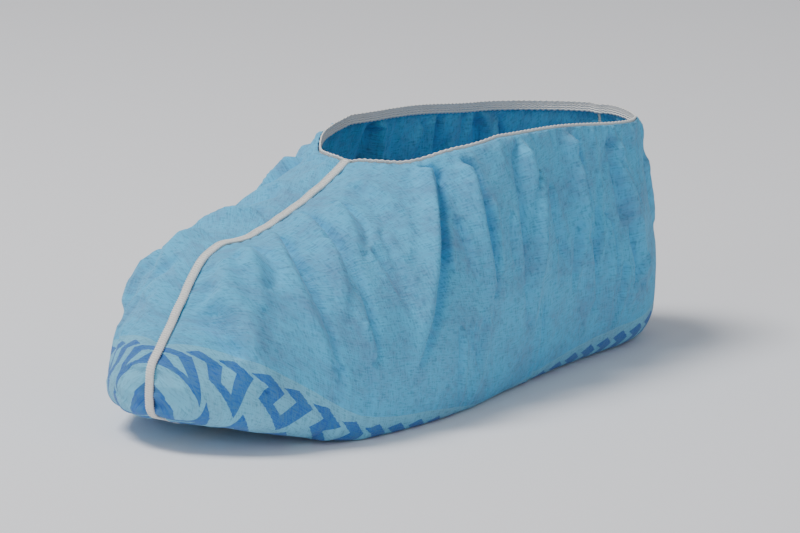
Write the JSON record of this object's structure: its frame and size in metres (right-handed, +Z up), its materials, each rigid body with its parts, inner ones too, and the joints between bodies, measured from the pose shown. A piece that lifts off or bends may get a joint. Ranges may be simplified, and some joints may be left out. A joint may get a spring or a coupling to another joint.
{
  "type": "shoe cover",
  "caption": "Disposable cloth shoe cover in its worn form: two printed side panels on an elastic centre seam, open and elasticated at the ankle.",
  "frame": {"origin": "on the floor under the middle of the cover, where the sole rests", "axes": "+X from the toe to the heel, -Y to the wearer's left, +Z up through the foot opening"},
  "size_m": [0.3116, 0.1319, 0.1054],
  "materials": {
    "cloth": "matte nonwoven cloth",
    "binding": "matte stitched edge",
    "elastic": "matte ribbed band"
  },
  "bodies": {
    "root": {"panel_left": "cloth", "panel_right": "cloth", "seam_binding": "binding", "opening_elastic": "elastic"}
  },
  "joints": []
}
